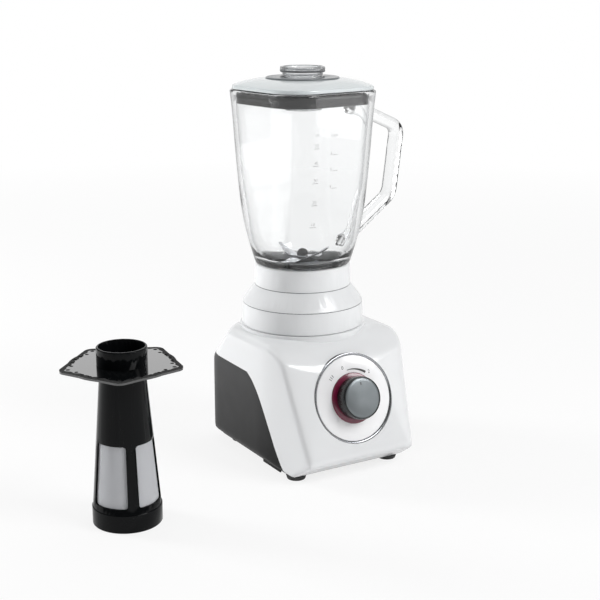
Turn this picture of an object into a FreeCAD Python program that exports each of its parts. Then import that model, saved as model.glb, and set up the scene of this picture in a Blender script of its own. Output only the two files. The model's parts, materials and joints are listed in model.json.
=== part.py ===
import FreeCAD, Part
import math
import os

os.makedirs("parts", exist_ok=True)

# Countertop blender with a glass jug, its lid and cup, and a filter basket
# that stands beside it.  Millimetres, +Z up, front towards -Y, handle
# towards +X.  The origin is on the drive axis, on the countertop.

V = FreeCAD.Vector
UP = V(0, 0, 1)

# ---------------------------------------------------------------- sizes
# fits
FREE_GAP = 0.5          # between parts that lift off or turn past each other
RUN_GAP = 0.05          # shaft in its bearing, on the radius
SEAM = 0.2              # shadow line between two shell parts

# base
FOOT_H = 5.0            # feet hold the base off the countertop
FOOT_R = 11.0
FOOT_X = 57.0
FOOT_FRONT_Y = -82.0
FOOT_BACK_X = 53.0
FOOT_BACK_Y = 46.0
BASE_TOP = 139.5
BASE_WALL = 3.0
SIDE_HALF = 80.5
SIDE_TUCK = 14.0        # the sides tuck in this far below SIDE_TUCK_Z
SIDE_TUCK_Z = 18.0
# the front face narrows downwards; half width and setback of its edges
CREASE_LOW = (61.0, -132.3)     # at countertop level
CREASE_HIGH = (75.5, -77.5)     # at the level of the base's top
TAPER_Y = -52.0
FRONT_LOW_Y = -121.8    # most forward point of the leaning front
FRONT_LOW_Z = 24.0
FRONT_LEAN = 16.8       # degrees the front face leans back
FRONT_TOP_R = 55.0      # it rolls over into the top
UNDERCUT_Y = -93.0
BACK_Y = 86.0
BACK_CORNER_R = 40.0
BACK_TUCK = 30.0
BACK_TUCK_Z = 25.0
SHOULDER_Y = -40.0      # the back shoulders are turned from a cone
SHOULDER_Z = 88.0
SHOULDER_R = 123.0
SHOULDER_SLOPE = 0.46
PANEL_T = 1.6           # dark side panels, let into the wall
PANEL_TOP = 102.5
LIP_Z = 2.2             # underside of the low lip under each panel
LIP_FRONT_Y = -66.0
LIP_BACK_Y = -30.0
PANEL_BACK_Y = 70.0

# seat for the jug
BOSS_TOP = 142.4
BOSS_R = 67.4
SPIGOT_H = 9.6
SPIGOT_TOP = BOSS_TOP + SPIGOT_H
WELL_R = 21.0           # well that the drive coupling turns in
WELL_FLOOR = BASE_TOP + 0.5
PAD_T = 1.5

# dial and knob, on the leaning front
DIAL_Z = 83.7
DIAL_R = 46.8
DIAL_RING_W = 2.6
DIAL_PROUD = -0.8       # the ring lies just below the crown
DIAL_DEEP = 3.4         # seat of the dial below the crown of the front
ACCENT_R = 26.7
ACCENT_H = 2.6
KNOB_R = 22.2
KNOB_H = 16.3
KNOB_SHAFT_R = 3.0

# motor
STATOR_R = 42.0
STATOR_H = 50.0
STATOR_Z = 52.0
AIR_GAP = 0.6
ROTOR_R = 23.0
SHAFT_R = 4.0
FAN_R = 34.0
FAN_Z = 26.0
HUB_R = 14.0            # hub of the bottom plate, round the lower bearing
OUTLET_R = 6.0          # air outlet up the middle of the hub
OUTLET_Z = 2.6

# foot of the jug and blade unit: ring, cone and collar, one on the other
RING_R = 65.6
RING_H = 23.5
RING_DRAFT = 0.7        # the ring narrows upwards by this
RING_WALL = 3.9
CONE_H = 18.9
CONE_IN = 13.1          # the cone draws in by this
COLLAR_H = 23.0
COLLAR_DRAFT = 1.0
RING_BOTTOM = BOSS_TOP + 0.6
RING_TOP = RING_BOTTOM + RING_H
RING_TOP_R = RING_R - RING_DRAFT
CONE_TOP = RING_TOP + CONE_H
CONE_TOP_R = RING_TOP_R - CONE_IN
COLLAR_TOP = CONE_TOP + COLLAR_H
COLLAR_TOP_R = CONE_TOP_R - COLLAR_DRAFT
RING_BORE_R = RING_TOP_R - RING_WALL
SPIGOT_R = RING_BORE_R - FREE_GAP   # centres the jug foot
DISH_T = 3.0
GASKET_T = 2.0
DOG_R = 12.0            # drive coupling, across its lobes
DOG_LOBES = 6
DOG_H = 8.0
CUP_DOG_R = 17.5
BLADE_T = 1.6
BLADE_R = 36.0

# glass jug: turned a little from the base, as it stands when locked
JUG_TURN = 7.0
JUG_H = 182.9
GLASS_T = 5.0
NECK_R = COLLAR_TOP_R - 5.0
NECK_T = 6.3
NECK_BORE_R = NECK_R - NECK_T
JUG_BOTTOM = COLLAR_TOP + 0.5
JUG_TOP = JUG_BOTTOM + JUG_H
# share of its height, half side, corner radius of the outside
JUG_TAPER = (
    (0.0, COLLAR_TOP_R, COLLAR_TOP_R - 0.5),
    (0.072, 51.9, 44.5),
    (0.182, 54.6, 40.0),
    (0.418, 58.3, 36.0),
    (0.655, 60.7, 35.0),
    (0.897, 62.9, 34.5),
)
LIP_FLARE = 1.6
HANDLE_THICK = 13.0
HANDLE_WIDE = 18.0
# handle centre line: reach from the axis, depth below the rim
HANDLE_LINE = ((56.0, 16.0), (133.3, 48.0), (122.5, 123.3), (53.0, 168.9))
HANDLE_BENDS = (13.0, 18.0)

# lid and measuring cup
LID_HALF = 62.2
LID_CORNER = 33.0
LID_EDGE_H = 4.0
LID_DOME_H = 7.2
LID_WALL = 2.6
LID_TOP = JUG_TOP + LID_EDGE_H + LID_DOME_H
SEAL_H = 15.0
SEAL_HALF = 58.0
SEAL_CORNER = 31.0
SEAL_T = 2.6            # also the depth of the lid's skirt below it
SKIRT_T = 2.2
SEAL_BOTTOM = JUG_TOP - SEAL_H
FILL_R = 22.4           # hole in the lid
FILL_RING_R = FILL_R + 16.4
FILL_RING_T = 1.5
CUP_R = FILL_R - 1.4
CUP_RIM_R = FILL_R + 1.0
CUP_RISE = 12.0
CUP_DEEP = 31.0
CUP_WALL = 2.0
CUP_TOP = LID_TOP + CUP_RISE
CUP_BOTTOM = LID_TOP - CUP_DEEP

# filter basket, standing on the countertop beside the base
FILTER_X = -248.0
FILTER_Y = -86.4
FILTER_TURN = -12.0     # ribs, degrees
FILTER_WALL = 2.0
FILTER_FOOT_R = 33.4
FILTER_FOOT_H = 18.0
FILTER_NECK_R = 21.8
FILTER_NECK_Z = 148.0
FILTER_TUBE_R = 23.8
FILTER_TOP = 174.0
FLANGE_Z = 157.0        # its five-sided plate rests on the wide end of a jug's inside
FLANGE_T = 2.4
FLANGE_R = 61.0
FLANGE_CORNER = 9.0
FLANGE_DISC_R = 50.5
FLANGE_TURN = 28.5
WINDOW_LOW = 23.5
WINDOW_HIGH = 84.0
WINDOW_SPAN = 70.0      # degrees of the cone each window opens
MESH_T = 0.6

TOP_UNDER = BASE_TOP - 6.0      # underside of the base's thick top
LEAN = math.radians(FRONT_LEAN)
DIAL_Y = FRONT_LOW_Y + (DIAL_Z - FRONT_LOW_Z) * math.tan(LEAN)



# -------------------------------------------------------------- helpers
def save(name, shape):
    shape.exportStep("parts/" + name + ".step")


def cyl(r, z0, z1, x=0.0, y=0.0):
    return Part.makeCylinder(r, z1 - z0, V(x, y, z0))


def ring(r_out, r_in, z0, z1, x=0.0, y=0.0):
    return cyl(r_out, z0, z1, x, y).cut(cyl(r_in, z0 - 1, z1 + 1, x, y))


def block(x0, x1, y0, y1, z0, z1):
    return Part.makeBox(x1 - x0, y1 - y0, z1 - z0, V(x0, y0, z0))


def fuse(shapes):
    whole = shapes[0]
    for s in shapes[1:]:
        whole = whole.fuse(s)
    return whole.removeSplitter()


def turned(shape, degrees, x=0.0, y=0.0):
    s = shape.copy()
    s.rotate(V(x, y, 0), UP, degrees)
    return s


def revolve(points):
    """Solid of revolution about Z from (radius, height) corners."""
    pts = [V(r, 0, z) for r, z in points]
    wire = Part.makePolygon(pts + pts[:1])
    return Part.Face(wire).revolve(V(0, 0, 0), UP, 360)


def rounded(points, closed=True):
    """Wire through (point, radius) corners, each corner rounded."""
    n = len(points)
    ends = []
    for i in range(n):
        p, r = points[i]
        a = (points[i - 1][0] - p).normalize()
        b = (points[(i + 1) % n][0] - p).normalize()
        if r <= 0 or (not closed and i in (0, n - 1)):
            ends.append((p, None, p))
            continue
        half = math.acos(max(-1.0, min(1.0, a.dot(b)))) / 2
        reach = r / math.tan(half)
        mid = (a + b).normalize()
        top = p + mid * (r / math.sin(half) - r)
        ends.append((p + a * reach, top, p + b * reach))
    edges = []
    for i in range(n):
        start, top, end = ends[i]
        if top is not None:
            edges.append(Part.Arc(start, top, end).toShape())
        if closed or i < n - 1:
            nxt = ends[(i + 1) % n][0]
            if end.distanceToPoint(nxt) > 1e-6:
                edges.append(Part.LineSegment(end, nxt).toShape())
    return Part.Wire(edges)


def square_wire(half, corner, z):
    """Square with round corners, level, centred on the axis."""
    pts = [V(half, -half, z), V(half, half, z), V(-half, half, z), V(-half, -half, z)]
    return rounded([(p, corner) for p in pts])


def square_loft(sections, smooth=True):
    wires = [square_wire(h, c, z) for z, h, c in sections]
    return Part.makeLoft(wires, True, not smooth)


def on_front(shape):
    """Places a shape drawn round the Z axis onto the leaning front face."""
    s = shape.copy()
    turn = FreeCAD.Rotation(V(1, 0, 0), 90.0 - FRONT_LEAN)
    s.Placement = FreeCAD.Placement(V(0, DIAL_Y, DIAL_Z), turn).multiply(s.Placement)
    return s


# ----------------------------------------------------------------- base
def front_y(z):
    return FRONT_LOW_Y + (z - FRONT_LOW_Z) * math.tan(LEAN)


def bend(a, corner, b):
    curve = Part.BezierCurve()
    curve.setPoles([a, corner, b])
    return curve.toShape()


def plan_wire(z, crease, inset):
    """Level outline of the base: crowned front, tapered sides, round back."""
    w = SIDE_HALF - inset
    back = BACK_Y - inset
    r = BACK_CORNER_R - inset
    k = r * (1 - math.sqrt(0.5))
    soft = 4.5
    crown = V(0, front_y(z) + inset / math.cos(LEAN), z)
    edge = V(crease[0] - inset, crease[1] + inset, z)
    shoulder = V(w, TAPER_Y, z)
    a = edge + (crown - edge).normalize() * soft
    b = edge + (shoulder - edge).normalize() * soft
    c = shoulder + (edge - shoulder).normalize() * 16.0
    d = V(w, TAPER_Y + 16.0, z)
    e = V(w, back - r, z)
    f = V(w - k, back - k, z)
    g = V(w - r, back, z)
    am, bm, cm, dm, em, fm, gm, edge_m, shoulder_m = [
        V(-p.x, p.y, p.z) for p in (a, b, c, d, e, f, g, edge, shoulder)]
    return Part.Wire([
        Part.Arc(am, crown, a).toShape(), bend(a, edge, b), Part.LineSegment(b, c).toShape(),
        bend(c, shoulder, d), Part.LineSegment(d, e).toShape(), Part.Arc(e, f, g).toShape(),
        Part.LineSegment(g, gm).toShape(), Part.Arc(gm, fm, em).toShape(),
        Part.LineSegment(em, dm).toShape(), bend(dm, shoulder_m, cm),
        Part.LineSegment(cm, bm).toShape(), bend(bm, edge_m, am)])


def base_block(inset):
    """Outer form of the base, drawn in by a distance on every side."""
    low = FOOT_H
    top = BASE_TOP - inset
    fy = FRONT_LOW_Y + inset / math.cos(LEAN) - 0.6
    back = BACK_Y - inset + 0.6
    side = [
        (V(0, UNDERCUT_Y + inset * 1.45, low), 0),
        (V(0, fy, FRONT_LOW_Z), 6.0),
        (V(0, fy + (top - FRONT_LOW_Z) * math.tan(LEAN), top), FRONT_TOP_R - inset),
        (V(0, back, top), 34.0 - inset),
        (V(0, back, BACK_TUCK_Z), 12.0),
        (V(0, back - BACK_TUCK, low), 0),
    ]
    by_side = Part.Face(rounded(side)).extrude(V(200, 0, 0))
    by_side.translate(V(-100, 0, 0))
    w = SIDE_HALF - inset + 0.6
    half = [(V(w - SIDE_TUCK, 0, low), 0), (V(w, 0, SIDE_TUCK_Z), 15.0),
            (V(w, 0, top), max(9.0 - inset, 2.0))]
    mirror = [(V(-p.x, 0, p.z), r) for p, r in half[::-1]]
    by_front = Part.Face(rounded(half + mirror)).extrude(V(0, 300, 0))
    by_front.translate(V(0, -150, 0))
    by_plan = Part.makeLoft([plan_wire(0.0, CREASE_LOW, inset),
                             plan_wire(BASE_TOP, CREASE_HIGH, inset)], True, True)
    wide = SHOULDER_R + SHOULDER_Z * SHOULDER_SLOPE - inset
    narrow = wide - 160.0 * SHOULDER_SLOPE
    shoulder = Part.makeCone(wide, narrow, 160.0, V(0, SHOULDER_Y, 0))
    return by_side.common(by_front).common(by_plan).common(shoulder)


def panel_outline():
    """Side view of the dark panel, wide enough to cut both sides."""
    slope = [V(0, y, PANEL_TOP - z) for y, z in (
        (-20.0, 0.0), (-31.0, 6.5), (-43.0, 18.5), (-53.0, 34.0),
        (-63.0, 53.5), (-72.0, 73.0), (-81.0, 90.0))]
    curve = Part.BSplineCurve()
    curve.interpolate(slope)
    low = FOOT_H - 1.0
    rest = [slope[-1], V(0, slope[-1].y - 2.0, low), V(0, PANEL_BACK_Y, low),
            V(0, PANEL_BACK_Y, PANEL_TOP + 1.0), slope[0]]
    edges = [curve.toShape()] + Part.makePolygon(rest).Edges
    return Part.Wire(Part.__sortEdges__(edges))


outer = base_block(0.0)
boss = Part.makeCone(BOSS_R + 1.8, BOSS_R, 26.0, V(0, 0, BOSS_TOP - 26.0))
outer_full = outer.fuse(boss).removeSplitter()
inner = base_block(BASE_WALL)
inner.translate(V(0, 0, -1e-3))
hollow = inner.cut(cyl(SPIGOT_R, TOP_UNDER, BASE_TOP + 5))
spigot = cyl(SPIGOT_R, TOP_UNDER, SPIGOT_TOP)
well = cyl(WELL_R, WELL_FLOOR, SPIGOT_TOP + 1)
bearing_hole = cyl(SHAFT_R + 5.0, BASE_TOP - 10.0, WELL_FLOOR + 1)

skin = outer.cut(base_block(PANEL_T))
panel_prism = Part.Face(panel_outline()).extrude(V(70, 0, 0))
panel_prism.translate(V(40, 0, 0))
sides = {"left": skin.common(panel_prism.mirror(V(0, 0, 0), V(1, 0, 0))),
         "right": skin.common(panel_prism)}
sides = {k: max(s.Solids, key=lambda q: q.Volume) for k, s in sides.items()}
# each panel ends below in a low lip, in front of a finger space
lip_out = Part.Face(base_block(0.0).slice(UP, FOOT_H + 0.02)[0])
lip_in = Part.Face(base_block(PANEL_T).slice(UP, FOOT_H + 0.02)[0])
lip = lip_out.cut(lip_in).extrude(V(0, 0, LIP_Z - FOOT_H - 0.02))
lip = lip.common(block(40, 90, LIP_FRONT_Y, LIP_BACK_Y, 0, 20))
sides["left"] = fuse([sides["left"], lip.mirror(V(0, 0, 0), V(1, 0, 0))])
sides["right"] = fuse([sides["right"], lip])

dial_hole = on_front(cyl(8.0, -20.0, 6.0))
dial_seat = on_front(cyl(DIAL_R + SEAM, -DIAL_DEEP, 6.0))
dial_pad = on_front(cyl(DIAL_R + 3.0, -DIAL_DEEP - 2.4, 0.0)).common(outer)
GLAND_X = 34.0
GLAND_Z = 22.0
gland_hole = Part.makeCylinder(6.0, 30, V(GLAND_X, BACK_Y - 20, GLAND_Z), V(0, 1, 0))

shell = outer_full.fuse(spigot).removeSplitter()
shell = shell.cut(hollow).cut(well).cut(bearing_hole).fuse(dial_pad)
shell = shell.cut(sides["left"]).cut(sides["right"])
shell = shell.cut(dial_hole).cut(dial_seat).cut(gland_hole)
shell = max(shell.Solids, key=lambda s: s.Volume)
save("base_shell", shell)
for key, solid in sides.items():
    save("side_panel_" + key, solid)

# bottom plate, closing the shell from below, with vents and four feet
PLATE_T = 2.4
plate_z = FOOT_H + 0.6
outline = base_block(BASE_WALL + 0.3).slice(UP, plate_z)[0]
plate = Part.Face(outline).extrude(V(0, 0, PLATE_T))
for y in (-32.0, -24.0, 24.0, 32.0):
    plate = plate.cut(block(-20, 20, y - 2, y + 2, 0, 20))
POST_R = 4.0
POST_AT = STATOR_R - 3.0
post_spots = [(POST_AT * math.cos(math.radians(a)), POST_AT * math.sin(math.radians(a)))
              for a in (45, 135, 225, 315)]
MOUNT_BASE = FAN_Z + 16.0
for x, y in post_spots:
    plate = plate.fuse(cyl(POST_R, plate_z + 1, MOUNT_BASE, x, y))
# hub on the drive axis: open below as the air outlet, a bearing above
bearing_low = ring(HUB_R, SHAFT_R + RUN_GAP, plate_z + PLATE_T, FAN_Z - 4.0)
outlet = ring(HUB_R, OUTLET_R, OUTLET_Z, plate_z + PLATE_T)
plate = fuse([plate.cut(cyl(HUB_R - 1.0, 0, 40)), outlet, bearing_low])
foot_spots = {
    "front_left": (-FOOT_X, FOOT_FRONT_Y),
    "front_right": (FOOT_X, FOOT_FRONT_Y),
    "back_left": (-FOOT_BACK_X, FOOT_BACK_Y),
    "back_right": (FOOT_BACK_X, FOOT_BACK_Y),
}
SCREW_R = 2.0
screws = []
for name, (x, y) in foot_spots.items():
    peg = cyl(5.0, plate_z + PLATE_T, plate_z + PLATE_T + 7.0, x, y)
    plate = plate.fuse(peg).cut(cyl(SCREW_R, 0, 40, x, y))
    foot = Part.makeCone(FOOT_R - 1.5, FOOT_R, FOOT_H - SEAM, V(x, y, 0))
    foot = foot.fuse(cyl(6.0, 1.0, plate_z, x, y))
    foot = foot.cut(cyl(SCREW_R + 2.4, -1, 2.4, x, y)).cut(cyl(SCREW_R, 0, 10, x, y))
    save("foot_" + name, foot)
    head = cyl(SCREW_R + 2.0, 0.9, 2.4, x, y)
    screws.append(head.fuse(cyl(SCREW_R, 2.4, plate_z + PLATE_T + 6.0, x, y)))
save("base_plate", plate.removeSplitter())
save("base_screws", Part.makeCompound([s.removeSplitter() for s in screws]))

# cord inlet: only the bush; no cord leaves it
gland = Part.makeCylinder(9.0, 3.0, V(GLAND_X, BACK_Y, GLAND_Z), V(0, 1, 0))
gland = gland.fuse(Part.makeCylinder(6.0, 8.0, V(GLAND_X, BACK_Y - 8.0, GLAND_Z), V(0, 1, 0)))
gland = gland.cut(Part.makeCylinder(3.6, 30.0, V(GLAND_X, BACK_Y - 15.0, GLAND_Z), V(0, 1, 0)))
save("cord_inlet", gland.removeSplitter())

# ---------------------------------------------------------- dial, knob
plate_r = DIAL_R - DIAL_RING_W
save("dial_ring", on_front(ring(DIAL_R, plate_r, -DIAL_DEEP, DIAL_PROUD)))
dial_plate = ring(plate_r, 8.0, -DIAL_DEEP, DIAL_PROUD - 0.8)
save("dial_plate", on_front(dial_plate))
accent_base = DIAL_PROUD - 0.8
accent_top = accent_base + ACCENT_H
accent = revolve([(9.0, accent_base), (ACCENT_R, accent_base), (ACCENT_R - 0.8, accent_top),
                  (9.0, accent_top)])
save("dial_accent", on_front(accent))

knob_low = accent_top + FREE_GAP
cap_r = KNOB_R - 1.6
knob = revolve([(0, knob_low), (KNOB_R - 0.4, knob_low), (KNOB_R, KNOB_H - 2.0),
                (KNOB_R - 0.8, KNOB_H), (cap_r, KNOB_H), (cap_r, KNOB_H - 1.4),
                (0, KNOB_H - 1.4)])
knob_bore = cyl(KNOB_SHAFT_R, knob_low - 1, knob_low + 8.0)
save("speed_knob", on_front(knob.cut(knob_bore)))
cap = revolve([(0, KNOB_H - 1.4), (cap_r, KNOB_H - 1.4), (cap_r, KNOB_H - 0.4),
               (cap_r - 3.0, KNOB_H + 0.2), (0, KNOB_H + 0.5)])
save("knob_cap", on_front(cap))
SWITCH_DEEP = 20.0
switch_face = -DIAL_DEEP - 2.4
save("knob_shaft", on_front(cyl(KNOB_SHAFT_R, switch_face - 12.0, knob_low + 8.0)))
switch = block(-17, 17, -17, 17, switch_face - SWITCH_DEEP, switch_face)
switch = switch.cut(cyl(KNOB_SHAFT_R + RUN_GAP, switch_face - 13.0, 5.0))
switch = switch.fuse(ring(8.0 - 0.2, KNOB_SHAFT_R + RUN_GAP, switch_face - 0.5, -0.4))
save("speed_switch", on_front(switch.removeSplitter()))

# -------------------------------------------------------------- motor
stator_top = STATOR_Z + STATOR_H
stator = ring(STATOR_R, ROTOR_R + AIR_GAP, STATOR_Z, stator_top)
for k in range(4):
    stator = stator.cut(turned(block(STATOR_R - 2.0, 60, -60, 60, 0, 200), 90 * k))
save("motor_stator", stator)
COIL_H = 8.0
coil_r = STATOR_R - 5.0
coils = [ring(coil_r, ROTOR_R + 2.0, STATOR_Z - COIL_H, STATOR_Z),
         ring(coil_r, ROTOR_R + 2.0, stator_top, stator_top + COIL_H)]
save("motor_windings", Part.makeCompound(coils))
frame_r = STATOR_R + POST_R - 1.0
frame = [ring(frame_r + 2.5, coil_r + 1.0, MOUNT_BASE, MOUNT_BASE + 3.0),
         cyl(frame_r, TOP_UNDER - 4.0, TOP_UNDER),
         cyl(13.0, TOP_UNDER - 9.0, TOP_UNDER)]
for x, y in post_spots:
    k = frame_r / POST_AT
    frame.append(cyl(POST_R, MOUNT_BASE, TOP_UNDER, x * k, y * k))
motor_frame = fuse(frame).cut(cyl(STATOR_R, STATOR_Z, stator_top))
motor_frame = motor_frame.cut(cyl(SHAFT_R + RUN_GAP, 0, 200)).removeSplitter()
save("motor_frame", motor_frame)
save("rotor_core", ring(ROTOR_R, SHAFT_R, STATOR_Z, stator_top))
end_turns = [ring(ROTOR_R - 4.0, SHAFT_R + 3.0, STATOR_Z - 6.0, STATOR_Z),
             ring(ROTOR_R - 4.0, SHAFT_R + 3.0, stator_top, stator_top + 6.0)]
save("rotor_windings", Part.makeCompound(end_turns))

FAN_H = 10.0
fan = ring(12.0, SHAFT_R, FAN_Z, FAN_Z + FAN_H).fuse(ring(FAN_R, SHAFT_R, FAN_Z, FAN_Z + 1.6))
for k in range(9):
    blade = block(11.0, FAN_R - 1.0, -0.8, 0.8, FAN_Z + 1, FAN_Z + FAN_H)
    blade.rotate(V(11, 0, 0), UP, 22)
    fan = fan.fuse(turned(blade, 40 * k))
save("cooling_fan", fan.removeSplitter())

dog_low = WELL_FLOOR + 2.0
dog_top = dog_low + DOG_H


def lobed(grow, z0, z1):
    """Star of round lobes that carries the drive, enlarged by grow."""
    core = cyl(DOG_R - 4.0 + grow, z0, z1)
    lobe = cyl(3.0 + grow, z0, z1, DOG_R - 3.0, 0)
    return fuse([core] + [turned(lobe, 360.0 / DOG_LOBES * k) for k in range(DOG_LOBES)])


SHAFT_TOP = dog_top - 2.0
save("motor_shaft", cyl(SHAFT_R, plate_z + PLATE_T + 4.0, SHAFT_TOP))
save("drive_dog", lobed(0.0, dog_low, dog_top).cut(cyl(SHAFT_R, dog_low - 1, SHAFT_TOP)))

board_x = SIDE_HALF - 27.0
board_z = plate_z + PLATE_T
save("control_board", block(board_x, board_x + 1.6, -34, 36, board_z, board_z + 52))
chips = [block(board_x - 9, board_x, -24, -10, board_z + 8, board_z + 26),
         block(board_x - 7, board_x, 2, 12, board_z + 8, board_z + 22),
         block(board_x - 4, board_x, -8, 8, board_z + 32, board_z + 40)]
save("board_parts", Part.makeCompound(chips))

# -------------------------------------------------- foot of the jug
pad_top = SPIGOT_TOP + PAD_T
save("seat_pad", ring(SPIGOT_R - 4.0, SPIGOT_R - 14.0, SPIGOT_TOP, pad_top))
foot_ring = revolve([(RING_BORE_R, RING_BOTTOM), (RING_R - 0.8, RING_BOTTOM),
                     (RING_R, RING_BOTTOM + 0.8), (RING_TOP_R, RING_TOP - 0.5),
                     (RING_TOP_R - 0.5, RING_TOP), (RING_BORE_R, RING_TOP)])
save("foot_ring", foot_ring)
WEB_T = 3.0
BUSH_R = 9.0
skirt_r = RING_BORE_R - 3.0
cone_in = COLLAR_TOP_R - 4.0
cone = revolve([(BUSH_R, pad_top), (RING_BORE_R, pad_top), (RING_BORE_R, RING_TOP),
                (RING_TOP_R - 0.5, RING_TOP), (RING_TOP_R, RING_TOP + 0.5),
                (CONE_TOP_R, CONE_TOP - 0.5), (CONE_TOP_R - 0.5, CONE_TOP),
                (cone_in - 10.0, CONE_TOP), (cone_in - 10.0, CONE_TOP - 3.4),
                (cone_in + 1.0, CONE_TOP - 3.4), (skirt_r, RING_TOP - 2.0),
                (skirt_r, pad_top + WEB_T), (BUSH_R, pad_top + WEB_T)])
save("foot_cone", cone)
collar_in = NECK_R + FREE_GAP
collar = revolve([(collar_in, CONE_TOP), (CONE_TOP_R - 0.5, CONE_TOP),
                  (CONE_TOP_R, CONE_TOP + 0.5), (COLLAR_TOP_R, COLLAR_TOP - 1.0),
                  (COLLAR_TOP_R - 1.0, COLLAR_TOP), (collar_in, COLLAR_TOP)])
save("jug_collar", collar)
dish_r = collar_in - 0.1
HUB_TOP = COLLAR_TOP - 5.0
dish_low_r = dish_r - 13.0
dish = revolve([(BUSH_R, HUB_TOP), (BUSH_R + 6.0, HUB_TOP), (dish_low_r, CONE_TOP + DISH_T),
                (dish_r, CONE_TOP + DISH_T), (dish_r, CONE_TOP), (dish_low_r - 2.0, CONE_TOP),
                (BUSH_R + 4.0, HUB_TOP - DISH_T), (BUSH_R, HUB_TOP - DISH_T)])
save("blade_dish", dish)
gasket_low = CONE_TOP + DISH_T
gasket_top = gasket_low + GASKET_T
save("jug_gasket", ring(collar_in - 0.2, NECK_BORE_R, gasket_low, gasket_top))
bush = ring(BUSH_R, SHAFT_R + RUN_GAP, pad_top, HUB_TOP)
save("blade_bearing", bush)

# ------------------------------------------------------- blade unit
cup_low = dog_low + 0.6
cup_top = pad_top - 0.3
driven = cyl(CUP_DOG_R, cup_low, cup_top).cut(lobed(FREE_GAP, cup_low - 1, dog_top + 0.6))
save("driven_dog", driven)
HUB_LOW = HUB_TOP + 3.0
HUB_H = 14.0
shaft_end = HUB_LOW + HUB_H
save("blade_shaft", cyl(SHAFT_R, cup_top, shaft_end))


def wing(points, width, tip, turn, z):
    """Bent steel wing: a strip along +X, tapered to its tip."""
    low = [V(x, 0, h) for x, h in points]
    top = [V(x, 0, h + BLADE_T) for x, h in points][::-1]
    strip = Part.Face(Part.makePolygon(low + top + low[:1])).extrude(V(0, 60, 0))
    strip.translate(V(0, -30, 0))
    end = points[-1][0]
    plan = [V(0, -width / 2, -20), V(end * 0.55, -width / 2, -20), V(end, -tip, -20),
            V(end, tip * 0.2, -20), V(end * 0.5, width / 2, -20), V(0, width / 2, -20)]
    shape = strip.common(Part.Face(Part.makePolygon(plan + plan[:1])).extrude(V(0, 0, 60)))
    shape.translate(V(0, 0, z))
    return turned(shape, turn)


def blade_pair(points, width, tip, turn, z):
    parts = [cyl(8.0, z + points[0][1], z + points[0][1] + BLADE_T)]
    for k in range(2):
        parts.append(wing(points, width, tip, turn + 180 * k, z))
    return fuse(parts).cut(cyl(SHAFT_R, z - 30, z + 60))


washer_t = 2.0
low_z = HUB_LOW + 3.0
high_z = low_z + BLADE_T + washer_t
LOW_SHAPE = ((0, 0), (13, 0), (24, -4.5), (BLADE_R, -2.0))
HIGH_SHAPE = ((0, 0), (12, 0), (24, 8.0), (BLADE_R - 4.0, 15.0))
save("blades_lower", blade_pair(LOW_SHAPE, 15.0, 4.0, 24, low_z))
save("blades_upper", blade_pair(HIGH_SHAPE, 15.0, 4.0, 114, high_z))
hub = [ring(8.0, SHAFT_R, HUB_LOW, low_z), ring(7.0, SHAFT_R, low_z + BLADE_T, high_z)]
save("blade_spacers", Part.makeCompound(hub))
nut_low = high_z + BLADE_T
nut = Part.Face(Part.makePolygon([V(6.6 * math.cos(math.radians(60 * k)),
                                    6.6 * math.sin(math.radians(60 * k)), nut_low)
                                  for k in range(7)])).extrude(V(0, 0, 5.0))
dome = Part.makeSphere(5.4, V(0, 0, nut_low + 5.0), UP, 0, 90, 360)
nut = nut.fuse(dome).cut(cyl(SHAFT_R, 0, shaft_end))
save("blade_nut", nut.removeSplitter())

# -------------------------------------------------------- glass jug
sections = [(JUG_BOTTOM + JUG_H * share, half, corner) for share, half, corner in JUG_TAPER]
mouth_half, mouth_corner = JUG_TAPER[-1][1:]
rim = (JUG_TOP, mouth_half + LIP_FLARE, mouth_corner + 0.5)
outside = square_loft(sections + [rim])
floor_z, floor_half, floor_corner = sections[0]
floor_in = GLASS_T + 4.0
inside_sections = [(floor_z + 3.0, floor_half - floor_in, floor_corner - floor_in)]
for z, half, corner in sections[1:]:
    inside_sections.append((z, half - GLASS_T, corner - GLASS_T))
inside_sections.append((JUG_TOP, mouth_half - GLASS_T + 0.3, mouth_corner - GLASS_T))
inside = square_loft(inside_sections)
neck = cyl(NECK_R, gasket_top, JUG_BOTTOM + 0.5)
bore = cyl(NECK_BORE_R, gasket_top - 1, inside_sections[0][0] + 2.0)
path_pts = [(V(x, 0, JUG_TOP - depth), r)
            for (x, depth), r in zip(HANDLE_LINE, (0,) + HANDLE_BENDS + (0,))]
path = rounded(path_pts, closed=False)
first = (path_pts[1][0] - path_pts[0][0]).normalize()
side = first.cross(V(0, 1, 0)).normalize()
a = HANDLE_THICK / 2
b = HANDLE_WIDE / 2
start = path_pts[0][0]
corners = [start + side * (a * i) + V(0, 1, 0) * (b * j) for i, j in
           ((1, -1), (1, 1), (-1, 1), (-1, -1))]
section = rounded([(c, a * 0.85) for c in corners])
handle = Part.Wire(path.Edges).makePipeShell([section], True, True)
jug = fuse([outside, neck, handle]).cut(inside).cut(bore)
jug = max(jug.Solids, key=lambda s: s.Volume)
save("glass_jug", turned(jug, JUG_TURN))

# ------------------------------------------------------ lid and cup
edge_top = JUG_TOP + LID_EDGE_H
LID_SHAPE = ((edge_top, LID_HALF - 0.6, LID_CORNER),
             (edge_top + LID_DOME_H * 0.61, LID_HALF - 9.2, LID_CORNER + 5.0),
             (LID_TOP, FILL_RING_R + 1.0, FILL_RING_R + 0.6))


def lid_form(inset, z_low):
    low = [(z_low, LID_HALF - inset, LID_CORNER - inset),
           (edge_top - inset, LID_HALF - 0.3 - inset, LID_CORNER - inset)]
    high = [(z - inset, h - inset, c - inset) for z, h, c in LID_SHAPE]
    high[0] = low[1]
    return square_loft(low, False).fuse(square_loft(high))


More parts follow.
